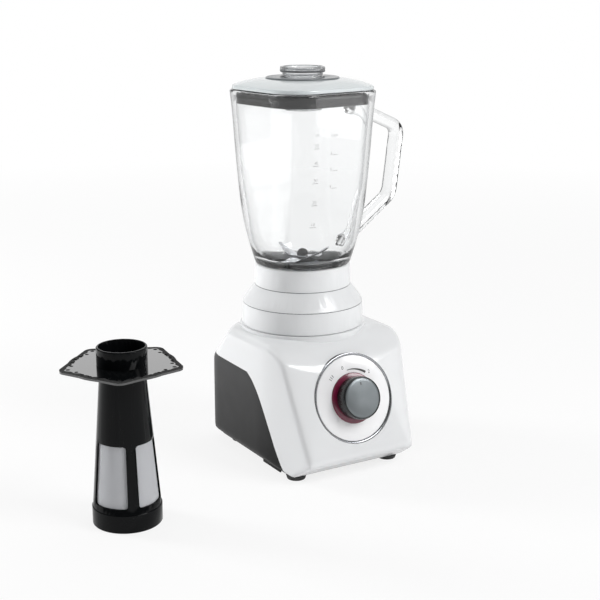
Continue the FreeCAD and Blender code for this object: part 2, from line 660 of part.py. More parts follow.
def square_ring(z0, z1, half, corner, wall):
    """Rounded-square band, its outside half a side of half, wall thick."""
    outer = square_loft([(z0, half, corner), (z1, half, corner)], False)
    hole = square_loft([(z0 - 1, half - wall, corner - wall),
                        (z1 + 1, half - wall, corner - wall)], False)
    return outer.cut(hole)


lid = lid_form(0.0, JUG_TOP).cut(lid_form(LID_WALL, JUG_TOP - 1.0))
skirt_half = SEAL_HALF - SEAL_T
skirt_corner = SEAL_CORNER - SEAL_T
skirt = square_ring(SEAL_BOTTOM + 1.0, edge_top - 0.5, skirt_half, skirt_corner, SKIRT_T)
flange_half = LID_HALF - 1.0
flange = square_ring(JUG_TOP, JUG_TOP + 2.4, flange_half, LID_CORNER - 1.0,
                     flange_half - skirt_half + SKIRT_T)
lid = fuse([lid, skirt, flange]).cut(cyl(FILL_R, JUG_TOP - SEAL_H, LID_TOP + 5))
save("lid", turned(max(lid.Solids, key=lambda s: s.Volume), JUG_TURN))
seal_z = SEAL_BOTTOM + 1.0
seal_h = JUG_TOP - seal_z
seal = [square_ring(seal_z + seal_h * low, seal_z + seal_h * high, SEAL_HALF - dip,
                    SEAL_CORNER - dip, SEAL_T - dip)
        for low, high, dip in ((0.0, 0.18, 0.0), (0.18, 0.45, 0.7), (0.45, 0.64, 0.1),
                               (0.64, 0.87, 0.7), (0.87, 1.0, 0.1))]
save("lid_seal", turned(fuse(seal), JUG_TURN))
fill_top = LID_TOP + FILL_RING_T
save("fill_ring", revolve([(FILL_R, LID_TOP), (FILL_RING_R, LID_TOP),
                           (FILL_RING_R - 1.0, fill_top), (FILL_R, fill_top)]))
cup_in = CUP_R - CUP_WALL
cup = revolve([(0, CUP_BOTTOM), (CUP_R - 2.0, CUP_BOTTOM), (CUP_R - 0.4, fill_top),
               (FILL_R + 0.9, fill_top), (FILL_R + 0.9, fill_top + 1.2),
               (CUP_R, fill_top + 1.6), (CUP_R, CUP_TOP - 6.4), (CUP_RIM_R, CUP_TOP - 5.4),
               (CUP_RIM_R, CUP_TOP - 0.8), (CUP_RIM_R - 0.8, CUP_TOP),
               (cup_in + 1.2, CUP_TOP), (cup_in, CUP_TOP - 3.0),
               (cup_in - 1.6, CUP_BOTTOM + CUP_WALL), (0, CUP_BOTTOM + CUP_WALL)])
save("measuring_cup", cup)

# --------------------------------------------------- filter basket
slope = (FILTER_FOOT_R - 0.9 - FILTER_NECK_R) / (FILTER_NECK_Z - FILTER_FOOT_H)


def cone_r(z):
    return FILTER_FOOT_R - 0.9 - (z - FILTER_FOOT_H) * slope


basket = revolve([
    (0, 0), (FILTER_FOOT_R - 0.6, 0), (FILTER_FOOT_R, 0.8), (FILTER_FOOT_R, FILTER_FOOT_H - 0.6),
    (FILTER_FOOT_R - 0.6, FILTER_FOOT_H), (cone_r(FILTER_FOOT_H), FILTER_FOOT_H),
    (FILTER_NECK_R, FILTER_NECK_Z), (FILTER_NECK_R, FLANGE_Z), (FILTER_TUBE_R, FLANGE_Z),
    (FILTER_TUBE_R, FILTER_TOP - 0.8), (FILTER_TUBE_R - 0.8, FILTER_TOP),
    (FILTER_TUBE_R - FILTER_WALL, FILTER_TOP), (FILTER_TUBE_R - FILTER_WALL, FLANGE_Z + 2.0),
    (FILTER_NECK_R - FILTER_WALL, FLANGE_Z - 1.0),
    (FILTER_NECK_R - FILTER_WALL, FILTER_NECK_Z),
    (cone_r(FILTER_FOOT_H) - FILTER_WALL, FILTER_FOOT_H),
    (cone_r(FILTER_FOOT_H) - FILTER_WALL, FILTER_WALL), (0, FILTER_WALL)])
low_half = cone_r(WINDOW_LOW) * math.sin(math.radians(WINDOW_SPAN / 2))
high_half = cone_r(WINDOW_HIGH) * math.sin(math.radians(WINDOW_SPAN / 2))
for k in range(4):
    corners = [V(0, -low_half, WINDOW_LOW), V(0, low_half, WINDOW_LOW),
               V(0, high_half, WINDOW_HIGH), V(0, -high_half, WINDOW_HIGH)]
    hole = Part.Face(rounded([(c, 3.0) for c in corners])).extrude(V(50, 0, 0))
    basket = basket.cut(turned(hole, 45 + 90 * k))
filter_spot = V(FILTER_X, FILTER_Y, 0)


def beside(shape, turn):
    s = turned(shape, turn)
    s.translate(filter_spot)
    return s


save("filter_basket", beside(basket, FILTER_TURN))
mesh_out = FILTER_WALL
mesh = revolve([
    (cone_r(WINDOW_LOW - 3) - mesh_out, WINDOW_LOW - 3),
    (cone_r(WINDOW_HIGH + 3) - mesh_out, WINDOW_HIGH + 3),
    (cone_r(WINDOW_HIGH + 3) - mesh_out - MESH_T, WINDOW_HIGH + 3),
    (cone_r(WINDOW_LOW - 3) - mesh_out - MESH_T, WINDOW_LOW - 3)])
save("filter_mesh", beside(mesh, FILTER_TURN))
plate_low = FLANGE_Z - FLANGE_T
corners = [(V(FLANGE_R * math.cos(math.radians(72 * k)),
              FLANGE_R * math.sin(math.radians(72 * k)), plate_low), FLANGE_CORNER)
           for k in range(5)]
flange = Part.Face(rounded(corners)).extrude(V(0, 0, FLANGE_T))
flange = flange.fuse(cyl(FLANGE_DISC_R, plate_low, FLANGE_Z)).removeSplitter()
flange = flange.cut(cyl(FILTER_NECK_R, 0, 200))
for k in range(5):
    flange = flange.cut(turned(cyl(2.0, plate_low - 1, FLANGE_Z + 1, FLANGE_R - 10.0), 72 * k))
    for step in (12, 24, 36, 48, 60):
        notch = cyl(1.8, plate_low - 1, FLANGE_Z + 1, FLANGE_DISC_R - 4.0)
        flange = flange.cut(turned(notch, 72 * k + step))
save("filter_flange", beside(flange, FLANGE_TURN))
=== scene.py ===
"""Countertop blender: glass jug on a white base, with a strainer basket beside it.

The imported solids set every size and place.  This script rounds and finishes
them, adds what is printed or moulded on them, and lights the whole.
"""

import json
import math

import bmesh
import bpy
from mathutils import Matrix, Vector
from mathutils.bvhtree import BVHTree
from mathutils.geometry import interpolate_bezier

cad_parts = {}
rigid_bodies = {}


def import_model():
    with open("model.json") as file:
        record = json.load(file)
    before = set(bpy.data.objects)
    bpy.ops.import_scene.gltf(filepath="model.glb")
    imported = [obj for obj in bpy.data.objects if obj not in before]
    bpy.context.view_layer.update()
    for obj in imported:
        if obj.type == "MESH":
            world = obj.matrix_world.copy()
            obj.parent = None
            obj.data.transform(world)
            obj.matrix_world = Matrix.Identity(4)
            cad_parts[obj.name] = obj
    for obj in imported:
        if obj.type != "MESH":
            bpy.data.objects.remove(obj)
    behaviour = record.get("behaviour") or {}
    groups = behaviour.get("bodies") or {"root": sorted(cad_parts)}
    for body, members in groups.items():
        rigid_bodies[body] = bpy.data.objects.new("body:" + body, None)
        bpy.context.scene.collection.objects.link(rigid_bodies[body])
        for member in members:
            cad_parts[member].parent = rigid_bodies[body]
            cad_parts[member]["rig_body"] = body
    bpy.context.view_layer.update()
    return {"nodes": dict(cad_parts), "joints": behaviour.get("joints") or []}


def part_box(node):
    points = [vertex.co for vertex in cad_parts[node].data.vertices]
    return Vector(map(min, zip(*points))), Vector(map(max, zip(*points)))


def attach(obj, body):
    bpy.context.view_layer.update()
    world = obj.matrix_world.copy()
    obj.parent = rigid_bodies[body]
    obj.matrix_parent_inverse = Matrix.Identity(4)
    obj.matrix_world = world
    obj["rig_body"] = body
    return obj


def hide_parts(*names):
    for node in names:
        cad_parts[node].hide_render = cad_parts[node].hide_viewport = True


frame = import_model()
NODES = frame["nodes"]
MM = 0.001
BODY = {name: piece["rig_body"] for name, piece in NODES.items()}


# ------------------------------------------------------------ shader maths
class Wire:
    """One output socket; arithmetic on it adds Math nodes to its tree."""

    def __init__(self, graph, socket):
        self.graph = graph
        self.socket = socket

    def math(self, operation, *values):
        return self.graph.node("ShaderNodeMath", {"operation": operation},
                               dict(enumerate(values)))

    def __add__(self, other):
        return self.math("ADD", self, other)

    def __radd__(self, other):
        return self.math("ADD", other, self)

    def __sub__(self, other):
        return self.math("SUBTRACT", self, other)

    def __rsub__(self, other):
        return self.math("SUBTRACT", other, self)

    def __mul__(self, other):
        return self.math("MULTIPLY", self, other)

    def __rmul__(self, other):
        return self.math("MULTIPLY", other, self)

    def __truediv__(self, other):
        return self.math("DIVIDE", self, other)

    def __rtruediv__(self, other):
        return self.math("DIVIDE", other, self)

    def __pow__(self, other):
        return self.math("POWER", self, other)

    def __gt__(self, other):
        return self.math("GREATER_THAN", self, other)

    def __lt__(self, other):
        return self.math("LESS_THAN", self, other)

    def abs(self):
        return self.math("ABSOLUTE", self)

    def arctan2(self, other):
        return self.math("ARCTAN2", self, other)

    def root(self):
        return self.math("SQRT", self)

    def wrap(self, period):
        return self.math("WRAP", self, period, 0.0)

    def at_most(self, other):
        return self.math("MINIMUM", self, other)

    def at_least(self, other):
        return self.math("MAXIMUM", self, other)

    def ramp(self, low, high):
        """0 below low, 1 above high, straight between."""
        return ((self - low) * (1.0 / (high - low))).at_least(0.0).at_most(1.0)


class Graph:
    """A node tree and the one way that nodes are added to it."""

    def __init__(self, tree):
        self.tree = tree

    def put(self, socket, value):
        if isinstance(value, Wire):
            self.tree.links.new(value.socket, socket)
        else:
            socket.default_value = value

    def node(self, kind, settings=None, inputs=None, output=0):
        """One node: its settings first, then the values or links of its sockets."""
        new = self.tree.nodes.new(kind)
        for key, value in (settings or {}).items():
            if key == "stops":
                ramp = new.color_ramp.elements
                while len(ramp) < len(value):
                    ramp.new(1.0)
                for element, (place, colour) in zip(ramp, value):
                    element.position = place
                    element.color = colour
            else:
                setattr(new, key, value)
        for key, value in (inputs or {}).items():
            self.put(new.inputs[key], value)
        return Wire(self, new.outputs[output])

    def axes(self, vector):
        """The three numbers of a vector."""
        split = self.node("ShaderNodeSeparateXYZ", {}, {"Vector": vector}).socket.node
        return [Wire(self, socket) for socket in split.outputs]

    def seen_rays(self):
        """Three numbers, 1 for rays from the camera, off gloss and through glass."""
        path = self.node("ShaderNodeLightPath").socket.node.outputs
        straight, glossy, through = [Wire(self, path[name]) for name in
                                     ("Is Camera Ray", "Is Glossy Ray", "Is Transmission Ray")]
        return straight, (glossy - through).at_least(0.0), through


class Finish(Graph):
    """A material and the nodes that give it its look."""

    def __init__(self, name, **shader):
        self.material = bpy.data.materials.new(name)
        self.material.use_nodes = True
        super().__init__(self.material.node_tree)
        self.shader = self.tree.nodes["Principled BSDF"]
        self.output = self.tree.nodes["Material Output"]
        self.set(**shader)

    def set(self, **values):
        """Sets the main shader's sockets; Base_Color stands for Base Color."""
        for key, value in values.items():
            self.put(self.shader.inputs[key.replace("_", " ")], value)

    def place(self, move=(0, 0, 0), turn=(0, 0, 0), scale=(1, 1, 1)):
        """Object coordinates in metres, centred and turned on a piece."""
        where = self.node("ShaderNodeTexCoord", output="Object")
        return self.node("ShaderNodeMapping", {"vector_type": "TEXTURE"},
                         {"Vector": where, "Location": move, "Rotation": turn, "Scale": scale})

    def noise(self, scale, detail=3.0, vector=None, roughness=0.5):
        return self.node("ShaderNodeTexNoise", {},
                         {"Vector": vector or self.place(), "Scale": scale, "Detail": detail,
                          "Roughness": roughness}, "Fac")

    def blend(self, factor, first, second):
        """Colour first where factor is 0, second where it is 1."""
        return self.node("ShaderNodeMix", {"data_type": "RGBA"},
                         {0: factor, 6: first, 7: second}, 2)

    def bump(self, height, distance, strength=1.0):
        self.set(Normal=self.node("ShaderNodeBump", {},
                                  {"Strength": strength, "Distance": distance,
                                   "Height": height}, "Normal"))

    def vary(self, key, middle, swing, scale, detail=3.0):
        """A socket that wanders a little about its middle value."""
        self.set(**{key: (self.noise(scale, detail) - 0.5) * (2 * swing) + middle})


def grey(value, alpha=1.0):
    return (value, value, value, alpha)


# --------------------------------------------------------------- finishes
def moulded(name, colour, rough, grain=0.0, grain_scale=2500.0, coat=0.0, patch=0.06,
            haze=0.18, ior=1.5):
    """Moulded plastic: faint mottling, fine grain, a little handling haze."""
    finish = Finish(name, Coat_Weight=coat, Coat_Roughness=0.05, IOR=ior)
    cloud = finish.noise(18.0, 2.0)
    shade = tuple(c * (1 - patch) for c in colour[:3]) + (1.0,)
    finish.set(Base_Color=finish.blend(cloud, shade, colour))
    finish.vary("Roughness", rough, rough * haze, 60.0)
    if grain:
        finish.bump(finish.noise(grain_scale, 2.0), grain)
    return finish.material


def metal(name, colour, rough, brushed=None):
    """Metal, with brush lines along one axis where it is brushed."""
    finish = Finish(name, Metallic=1.0, Base_Color=colour)
    finish.vary("Roughness", rough, rough * 0.25, 90.0)
    if brushed:
        finish.bump(finish.noise(900.0, 3.0, finish.place(scale=brushed)), 0.00003)
    return finish.material


def rubber(name, value):
    finish = Finish(name, Base_Color=grey(value), Specular_IOR_Level=0.35)
    finish.vary("Roughness", 0.72, 0.08, 220.0)
    finish.bump(finish.noise(3000.0, 3.0), 0.00005)
    return finish.material


WHITE = (0.80, 0.81, 0.82, 1.0)
white_plastic = moulded("white gloss plastic", WHITE, 0.22, 0.000004, 900.0, 0.35, 0.02, 0.05)
white_satin = moulded("white smooth plastic", WHITE, 0.26, 0.000004, 900.0, 0.1, 0.02, 0.05)
dial_white = moulded("white dial plastic", (0.88, 0.88, 0.89, 1), 0.30, coat=0.4, patch=0.01)
floor_plastic = moulded("dark floor plastic", (0.03, 0.03, 0.032, 1), 0.55, 0.00003)
foot_rubber = rubber("black foot rubber", 0.06)
pad_rubber = rubber("grey pad rubber", 0.05)
seal_rubber = moulded("dark lid seal rubber", (0.002, 0.0025, 0.003, 1), 0.18, ior=1.25)
zinc = metal("zinc screws", (0.60, 0.61, 0.62, 1), 0.30)
bush_plastic = moulded("pale bush plastic", (0.55, 0.55, 0.54, 1), 0.55)
trim_metal = metal("satin dial trim", (0.42, 0.43, 0.45, 1), 0.18)
knob_side = moulded("grey knob side", (0.012, 0.014, 0.015, 1), 0.25)
steel = metal("ground steel", (0.62, 0.63, 0.65, 1), 0.20, (1, 1, 30))
blade_steel = metal("ground blade steel", (0.70, 0.71, 0.73, 1), 0.12, (1, 14, 1))
dish_steel = metal("polished dish steel", (0.26, 0.27, 0.285, 1), 0.08)
cast_alloy = metal("cast alloy", (0.55, 0.56, 0.58, 1), 0.42)
laminations = metal("stacked steel sheets", (0.30, 0.31, 0.33, 1), 0.40, (40, 40, 1))
copper = metal("enamelled copper", (0.60, 0.24, 0.10, 1), 0.28, (30, 30, 1))
switch_plastic = moulded("switch housing plastic", (0.45, 0.42, 0.36, 1), 0.5)
board_green = moulded("printed board", (0.02, 0.12, 0.05, 1), 0.35)
board_black = moulded("component bodies", (0.02, 0.02, 0.022, 1), 0.4)
fan_plastic = moulded("fan plastic", (0.30, 0.30, 0.28, 1), 0.5)
dog_plastic = moulded("drive plastic", (0.03, 0.03, 0.032, 1), 0.4)
hub_black = moulded("black hub plastic", (0.004, 0.004, 0.004, 1), 0.25)
black_gloss = moulded("black gloss plastic", (0.003, 0.0035, 0.004, 1), 0.12, ior=1.22)
black_mirror = moulded("polished black plastic", (0.003, 0.0035, 0.004, 1), 0.08, coat=1.0,
                       ior=1.8)
# thin matt black sheet on the filter plate's rim: a painted dark reflection
rim_painted_reflection = rubber("matt black painted rim reflection", 0.008)
smoky_edge = moulded("smoky cup edge", (0.075, 0.08, 0.085, 1), 0.3)
seam_painted_shade = moulded("grey painted seam shade", (0.11, 0.115, 0.12, 1), 0.6)
lid_finish = moulded("pale lid plastic", (0.66, 0.70, 0.71, 1), 0.20, 0.00001, 500.0, 0.5, 0.03)
grey_ring = moulded("smoky lid ring", (0.150, 0.165, 0.175, 1), 0.35, 0.00001, 900.0, 0.3)


def glass_finish(name, clear, edge, rough, ripple, open_share=1.0):
    """Clear wall, with painted shade that greys it where it is seen edge on."""
    finish = Finish(name, IOR=1.5)
    finish.shader.inputs["Transmission Weight"].default_value = open_share
    edge_on_painted_shade = finish.node("ShaderNodeLayerWeight", {}, {"Blend": 0.5}, "Facing")
    # painted shade: the colour turns to the edge colour where the wall is seen edge on
    finish.set(Base_Color=finish.blend(edge_on_painted_shade.ramp(0.32, 0.92) ** 1.3, clear, edge))
    finish.vary("Roughness", rough, rough * 0.5, 40.0)
    finish.bump(finish.noise(22.0, 1.0), ripple)
    return finish.material


# the second colour of each is the painted edge shade
jug_glass = glass_finish("thick clear glass", (0.97, 0.976, 0.978, 1), (0.07, 0.078, 0.088, 1),
                         0.01, 0.00012)
cup_plastic = glass_finish("clear cup plastic", (0.93, 0.94, 0.95, 1), (0.30, 0.31, 0.32, 1),
                           0.05, 0.0001, 0.85)


def accent_finish():
    """Dark red plastic, finely mottled, under a clear coat."""
    finish = Finish("dark red ring", Coat_Weight=0.6)
    cloud = finish.noise(140.0, 2.0)
    finish.set(Base_Color=finish.blend(cloud, (0.095, 0.004, 0.020, 1), (0.21, 0.008, 0.05, 1)))
    finish.vary("Roughness", 0.2, 0.05, 80.0)
    return finish.material


accent_red = accent_finish()


def panel_finish():
    """Satin panel, with painted shade that darkens it towards its low front corner."""
    finish = Finish("charcoal satin plastic", Specular_IOR_Level=0.15)
    low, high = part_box("side_panel_left")
    _, y, z = finish.axes(finish.place())
    # painted shade: the colour darkens towards the panel's bottom and front
    depth = (z - low.z) / (high.z - low.z) * 0.6 + (y - low.y) / (high.y - low.y) * 0.4
    cloud = finish.noise(18.0, 2.0) * 0.1
    finish.set(Base_Color=finish.blend((depth + cloud).ramp(0.0, 1.0),
                                       (0.008, 0.008, 0.008, 1), (0.064, 0.064, 0.065, 1)))
    finish.vary("Roughness", 0.48, 0.06, 60.0)
    finish.bump(finish.noise(3200.0, 2.0), 0.00002)
    return finish.material


charcoal = panel_finish()


def spun_finish():
    """Grey half-metallic cap, softly mottled about its middle."""
    finish = Finish("spun grey cap", Metallic=0.75)
    cap_low, cap_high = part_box("knob_cap")
    middle = (cap_low + cap_high) / 2
    finish.set(Base_Color=finish.blend(finish.noise(55.0, 2.0, finish.place(middle)),
                                       (0.17, 0.19, 0.20, 1), (0.25, 0.27, 0.28, 1)))
    finish.vary("Roughness", 0.36, 0.06, 100.0)
    return finish.material


spun_cap = spun_finish()


THREADS_ROUND_HALF = 170
THREADS_PER_METRE = 1400.0


def strainer(name, centre):
    """Woven net: threads run round the basket and up it, clear between them."""
    finish = Finish(name, Base_Color=(0.70, 0.71, 0.74, 1))
    x, y, z = finish.axes(finish.place((centre.x, centre.y, 0)))
    around = y.arctan2(x) * (THREADS_ROUND_HALF / math.pi)
    upward = z * THREADS_PER_METRE
    threads = []
    for run in (around, upward):
        threads.append(((run.wrap(1.0) - 0.5).abs() * 2) ** 2)
    weave = threads[0].at_least(threads[1])
    finish.set(Alpha=(weave > 0.12) * 0.94)
    finish.bump(weave, 0.0002)
    finish.vary("Roughness", 0.45, 0.08, 300.0)
    return finish.material


net_low, net_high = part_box("filter_mesh")
net_middle = (net_low + net_high) / 2
net_white = strainer("pale strainer net", net_middle)

PAINT = {
    white_plastic: ("base_shell",),
    white_satin: ("foot_ring", "foot_cone", "jug_collar"),
    dial_white: ("dial_plate",),
    charcoal: ("side_panel_left", "side_panel_right"),
    floor_plastic: ("base_plate",),
    foot_rubber: ("foot_front_left", "foot_front_right", "foot_back_left", "foot_back_right"),
    pad_rubber: ("seat_pad", "jug_gasket"),
    seal_rubber: ("lid_seal",),
    zinc: ("base_screws",),
    bush_plastic: ("cord_inlet",),
    trim_metal: ("dial_ring",),
    accent_red: ("dial_accent",),
    knob_side: ("speed_knob",),
    spun_cap: ("knob_cap",),
    steel: ("knob_shaft", "motor_shaft", "blade_shaft"),
    blade_steel: ("blades_lower", "blades_upper"),
    dish_steel: ("blade_dish",),
    cast_alloy: ("motor_frame",),
    laminations: ("motor_stator", "rotor_core"),
    copper: ("motor_windings", "rotor_windings"),
    switch_plastic: ("speed_switch",),
    board_green: ("control_board",),
    board_black: ("board_parts",),
    fan_plastic: ("cooling_fan",),
    dog_plastic: ("drive_dog", "driven_dog"),
    hub_black: ("blade_bearing", "blade_spacers", "blade_nut"),
    jug_glass: ("glass_jug",),
    lid_finish: ("lid",),
    grey_ring: ("fill_ring",),
    cup_plastic: ("measuring_cup",),
    black_gloss: ("filter_basket",),
    black_mirror: ("filter_flange",),
    net_white: ("filter_mesh",),
}


def paint(piece, material):
    piece.data.materials.clear()
    piece.data.materials.append(material)


for material, names in PAINT.items():
    for name in names:
        paint(NODES[name], material)


# ------------------------------------------------------------ mesh helpers
def add_piece(name, bm, material, body, stands_for=()):
    """Turns a finished bmesh into a piece that rides on a body."""
    mesh = bpy.data.meshes.new(name)
    bm.to_mesh(mesh)
    bm.free()
    piece = bpy.data.objects.new(name, mesh)
    bpy.context.scene.collection.objects.link(piece)
    paint(piece, material)
    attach(piece, body)
    if stands_for:
        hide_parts(*stands_for)
    return piece


def merged_copy(*names):
    """The named solids in one bmesh, their loose triangles joined up."""
    bm = bmesh.new()
    for name in names:
        bm.from_mesh(NODES[name].data)
    bmesh.ops.remove_doubles(bm, verts=bm.verts, dist=0.01 * MM)
    return bm


def baked(piece):
    """Applies the piece's modifiers to its mesh."""
    graph = bpy.context.evaluated_depsgraph_get()
    done = bpy.data.meshes.new_from_object(piece.evaluated_get(graph))
    piece.modifiers.clear()
    old, piece.data = piece.data, done
    bpy.data.meshes.remove(old)


def smooth(piece, sharp=None):
    """Shades smooth, keeping edges sharper than the angle in degrees."""
    for face in piece.data.polygons:
        face.use_smooth = True
    if sharp:
        piece.data.set_sharp_from_angle(angle=math.radians(sharp))


def melt(piece, voxel, passes):
    """One skin over the piece's solids, its edges all gently rounded."""
    skin = piece.modifiers.new("skin", "REMESH")
    skin.mode = "VOXEL"
    skin.voxel_size = voxel * MM
    relax = piece.modifiers.new("relax", "SMOOTH")
    relax.factor = 0.5
    relax.iterations = passes
    baked(piece)


def softened(name, node, voxel, passes, material):
    """A solid melted into a skin with rounded edges."""
    piece = add_piece(name, merged_copy(node), material, BODY[node], (node,))
    melt(piece, voxel, passes)
    smooth(piece)
    return piece


def round_over(piece, width, steps=2, corner=32.0):
    """Rounds the edges that are sharper than the corner angle."""
    edge = piece.modifiers.new("round over", "BEVEL")
    edge.width = width * MM
    edge.segments = steps
    edge.limit_method = "ANGLE"
    edge.angle_limit = math.radians(corner)
    edge.harden_normals = True
    smooth(piece)
    baked(piece)


def eased(node, material, width, steps=2):
    """A solid's twin with its sharp edges rounded over."""
    bm = merged_copy(node)
    bmesh.ops.dissolve_limit(bm, angle_limit=math.radians(0.4), verts=bm.verts[:],
                             edges=bm.edges[:])
    piece = add_piece(node + "_rounded", bm, material, BODY[node], (node,))
    round_over(piece, width, steps)
    return piece


def cut(piece, cutter, operation="DIFFERENCE"):
    """Cuts the piece by a closed bmesh, which is used up."""
    mesh = bpy.data.meshes.new("cutter")
    bmesh.ops.recalc_face_normals(cutter, faces=cutter.faces[:])
    cutter.to_mesh(mesh)
    cutter.free()
    tool = bpy.data.objects.new("cutter", mesh)
    bpy.context.scene.collection.objects.link(tool)
    carve = piece.modifiers.new("carve", "BOOLEAN")
    carve.operation = operation
    carve.solver = "MANIFOLD"
    carve.object = tool
    baked(piece)
    bpy.data.objects.remove(tool)
    bpy.data.meshes.remove(mesh)


def drum(bm, radius, low, high, where=Matrix.Identity(4), steps=128):
    """Adds a closed cylinder, in mm, to a bmesh."""
    lift = Matrix.Translation((0, 0, (low + high) / 2 * MM))
    bmesh.ops.create_cone(bm, cap_ends=True, segments=steps, radius1=radius * MM,
                          radius2=radius * MM, depth=(high - low) * MM, matrix=where @ lift)


def pushed_out(bm, face, move):
    """Extrudes a flat face into a solid and moves its new end."""
    made = bmesh.ops.extrude_face_region(bm, geom=[face])["geom"]
    bmesh.ops.translate(bm, vec=move,
                        verts=[v for v in made if isinstance(v, bmesh.types.BMVert)])


def spot_frame(origin, across, upward):
    """Matrix whose x runs across, y upward and z out of the surface."""
    across = Vector(across).normalized()
    upward = Vector(upward).normalized()
    turn = Matrix((across, upward, across.cross(upward))).transposed().to_4x4()
    return Matrix.Translation(origin) @ turn


knob_joint = next(joint for joint in frame["joints"] if joint["name"] == "knob_turn")
DIAL_SPOT = Vector(knob_joint["pos_m"])
DIAL_OUT = Vector(knob_joint["axis"])
dial_frame = spot_frame(DIAL_SPOT, (1, 0, 0), DIAL_OUT.cross(Vector((1, 0, 0))))

# ------------------------------------------------------------- base skin
FOOT_H = 5.0
BASE_TOP = 139.5
BASE_WALL = 2.6
BOSS_FOOT_R = 67.6
DIAL_SEAT_R = 47.0
PANEL_GAP = 0.35
# where the blocks that cut the panels start, out from the middle, and how far they reach
PANEL_START = 46.0
PANEL_REACH = 50.0
# the broad shoulder at the back corners: middle, radius and height
SHOULDER_X = 40.5
SHOULDER_Y = 46.0
SHOULDER_R = 40.0
SHOULDER_Z = 98.0
# front edge of the dark panels, from the top down: (y, z)
PANEL_SWEEP = ((-20.0, 102.5), (-31.0, 96.0), (-43.0, 84.0), (-53.0, 68.5),
               (-63.0, 49.0), (-72.0, 29.5), (-81.0, 12.5))
PANEL_REST = ((-83.0, 3.0), (70.0, 3.0), (70.0, 103.5))


def base_form():
    """The closed outer form of the base, without its boss."""
    bm = bmesh.new()
    for name in ("base_shell", "side_panel_left", "side_panel_right"):
        for vert in NODES[name].data.vertices:
            if FOOT_H - 0.01 < vert.co.z / MM < BASE_TOP + 0.01:
                bm.verts.new(vert.co)
    for side in (-1, 1):
        for degrees in range(0, 91, 15):
            turn = math.radians(degrees)
            bm.verts.new((side * (SHOULDER_X + SHOULDER_R * math.cos(turn)) * MM,
                          (SHOULDER_Y + SHOULDER_R * math.sin(turn)) * MM, SHOULDER_Z * MM))
    bmesh.ops.remove_doubles(bm, verts=bm.verts[:], dist=0.02 * MM)
    hull = bmesh.ops.convex_hull(bm, input=bm.verts[:])
    inside = [v for v in hull["geom_interior"] if isinstance(v, bmesh.types.BMVert)]
    bmesh.ops.delete(bm, geom=inside, context="VERTS")
    return bm


def hollowed(piece):
    """Opens the form below and gives it a wall."""
    bm = bmesh.new()
    bm.from_mesh(piece.data)
    floor_faces = [f for f in bm.faces
                   if f.normal.z < -0.85 and f.calc_center_median().z < (FOOT_H + 3) * MM]
    bmesh.ops.delete(bm, geom=floor_faces, context="FACES")
    bm.to_mesh(piece.data)
    bm.free()
    wall = piece.modifiers.new("wall", "SOLIDIFY")
    wall.thickness = BASE_WALL * MM
    wall.offset = -1.0
    baked(piece)


def sweep_points(points, parts=6):
    """Points on a smooth curve through the given ones."""
    ends = [points[0]] + list(points) + [points[-1]]
    line = []
    for before, start, stop, after in zip(ends, ends[1:], ends[2:], ends[3:]):
        handles = [Vector(start), Vector(start) + (Vector(stop) - Vector(before)) / 6,
                   Vector(stop) - (Vector(after) - Vector(start)) / 6, Vector(stop)]
        line += interpolate_bezier(*[p.to_3d() for p in handles], parts + 1)[:-1]
    return line + [Vector(points[-1]).to_3d()]


def panel_block(bm, side, inset):
    """Adds the block that one dark panel is cut with."""
    outline = [(p.x, p.y) for p in sweep_points(PANEL_SWEEP)] + list(PANEL_REST)
    face = bm.faces.new([bm.verts.new((side * PANEL_START * MM, y * MM, z * MM))
                         for y, z in outline])
    if inset:
        ring = bmesh.ops.inset_region(bm, faces=[face], thickness=inset * MM,
                                      use_even_offset=True)["faces"]
        bmesh.ops.delete(bm, geom=ring, context="FACES")
    pushed_out(bm, face, (side * PANEL_REACH * MM, 0, 0))


base_skin = add_piece("base_skin", base_form(), white_plastic, "base", ("base_shell",))
melt(base_skin, 1.6, 26)
hollowed(base_skin)

for side, name in ((-1, "left"), (1, "right")):
    node = "side_panel_" + name
    walls = bmesh.new()
    walls.from_mesh(base_skin.data)
    panel = add_piece(node + "_skin", walls, charcoal, "base", (node,))
    block = bmesh.new()
    panel_block(block, side, PANEL_GAP)
    cut(panel, block, "INTERSECT")
    smooth(panel, 40)
    lip = merged_copy(node)
    bmesh.ops.bisect_plane(lip, geom=lip.verts[:] + lip.edges[:] + lip.faces[:],
                           plane_co=(0, 0, (FOOT_H + 1.5) * MM), plane_no=(0, 0, 1),
                           clear_outer=True)
    bmesh.ops.holes_fill(lip, edges=[e for e in lip.edges if e.is_boundary], sides=0)
    smooth(add_piece(node + "_lip", lip, charcoal, "base", (node,)), 30)

openings = bmesh.new()
drum(openings, DIAL_SEAT_R, -20.0, 12.0, dial_frame)
drum(openings, BOSS_FOOT_R - 0.2, BASE_TOP - 16, BASE_TOP + 20)
panel_block(openings, -1, 0.0)
panel_block(openings, 1, 0.0)
cut(base_skin, openings)
smooth(base_skin, 40)

crown = add_piece("base_crown", merged_copy("base_shell"), white_plastic, "base",
                  ("base_shell",))
core = bmesh.new()
drum(core, BOSS_FOOT_R, BASE_TOP - 7, BASE_TOP + 40)
cut(crown, core, "INTERSECT")
round_over(crown, 0.5)

